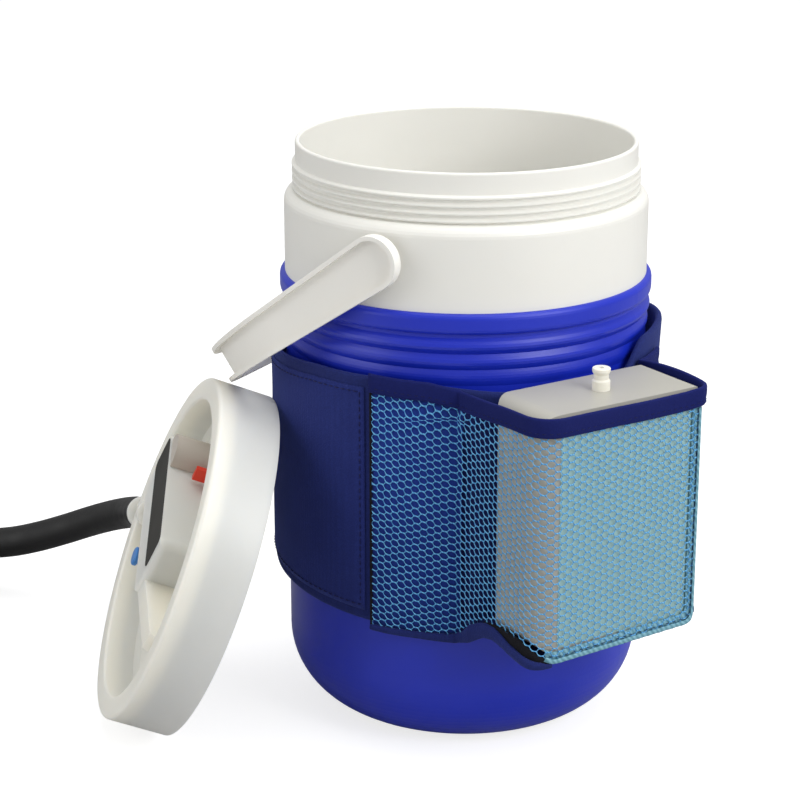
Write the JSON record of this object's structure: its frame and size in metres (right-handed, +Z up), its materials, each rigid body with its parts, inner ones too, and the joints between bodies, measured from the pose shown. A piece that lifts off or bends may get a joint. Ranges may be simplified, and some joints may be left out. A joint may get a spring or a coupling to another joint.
{
  "type": "hot cold therapy machine",
  "caption": "Insulated cooler jug with fabric sleeve and net pocket for an air pump, fold-down handle, and a screw lid with a foam-covered hose ending in a quick coupling.",
  "frame": {"origin": "centre of the jug's foot, on the table", "axes": "+Z up along the jug's axis; +Y along the handle's pivot axis; the handle hangs towards -X and the lid leans between -X and -Y"},
  "size_m": [0.6366, 0.3499, 0.3173],
  "materials": {
    "rubber_grey": "moulded, matt",
    "jacket_blue": "moulded, soft gloss",
    "foam": "poured foam",
    "white_plastic": "moulded, soft gloss",
    "neoprene": "knit faced foam",
    "net": "knitted hexagonal net",
    "tape": "woven binding tape",
    "handle_white": "moulded, soft gloss",
    "lid_plastic": "moulded, slightly clear",
    "label_dark": "printed film",
    "grey_plastic": "moulded, matt",
    "cap_blue": "moulded",
    "tab_red": "moulded",
    "hose_foam": "foamed skin",
    "strap": "woven strap",
    "rubber_black": "moulded",
    "coupling_grey": "moulded",
    "steel": "plain",
    "case_beige": "fine moulded texture",
    "label_pale": "blank film",
    "fitting_white": "moulded",
    "brass": "turned",
    "head_black": "moulded",
    "board_green": "solder mask"
  },
  "bodies": {
    "jug": {"foot_pad": "rubber_grey", "jacket": "jacket_blue", "insulation": "foam", "tank": "white_plastic", "sleeve": "neoprene", "sleeve_panel": "neoprene", "pocket_net": "net", "pocket_tape": "tape", "pocket_seam": "net"},
    "handle": {"bail": "handle_white"},
    "lid": {"lid_shell": "lid_plastic", "lid_liner": "white_plastic", "lid_foam": "foam", "lid_gasket": "rubber_grey", "lid_label": "label_dark", "lid_boss": "grey_plastic", "pickup_nipple": "white_plastic", "hose_gland": "lid_plastic", "hose_locknut": "lid_plastic", "hose_run": "hose_foam", "hose_coil": "hose_foam", "hose_tie": "strap", "coupling_cuff": "rubber_black", "coupling_body": "coupling_grey", "coupling_ring": "rubber_black", "coupling_spigot": "coupling_grey"},
    "vent": {"vent_cap": "cap_blue"},
    "plug": {"plug_tab": "tab_red"},
    "latch": {"coupling_latch": "steel"},
    "pump": {"pump_case": "case_beige", "pump_cover": "case_beige", "pump_label": "label_pale", "pump_outlet": "fitting_white", "pump_motor": "steel", "pump_head": "head_black", "pump_board": "board_green", "power_inlet": "head_black", "pump_screw_1": "steel", "pump_screw_2": "steel", "pump_screw_3": "steel", "pump_screw_4": "steel", "pump_foot_1": "rubber_black", "pump_foot_2": "rubber_black", "pump_foot_3": "rubber_black", "pump_foot_4": "rubber_black"},
    "rotor": {"pump_rotor": "brass"}
  },
  "joints": [
    {"name": "handle_hinge", "type": "hinge", "parent": "jug", "child": "handle", "pos_m": [0, 0, 0.2724], "axis": [0, 1, 0], "range_deg": [0, 148]},
    {"name": "lid_slide", "type": "slide", "parent": "jug", "child": "lid", "axis": [-0.7934, -0.6088, 0], "range_m": [0, 0.25]},
    {"name": "pump_lift", "type": "slide", "parent": "jug", "child": "pump", "axis": [0, 0, 1], "range_m": [0, 0.14]},
    {"name": "vent_pull", "type": "slide", "parent": "lid", "child": "vent", "axis": [-0.7376, -0.566, 0.3681], "range_m": [0, 0.0025]},
    {"name": "plug_pull", "type": "slide", "parent": "lid", "child": "plug", "axis": [-0.7376, -0.566, 0.3681], "range_m": [0, 0.0025]},
    {"name": "latch_press", "type": "slide", "parent": "lid", "child": "latch", "axis": [0, 0, -1], "range_m": [0, 0.0025], "stiffness_N_per_m": 800},
    {"name": "rotor_spin", "type": "hinge", "parent": "pump", "child": "rotor", "pos_m": [0.10514, -0.07379, 0.1289], "axis": [0.4894, 0.8721, 0], "continuous": true}
  ]
}
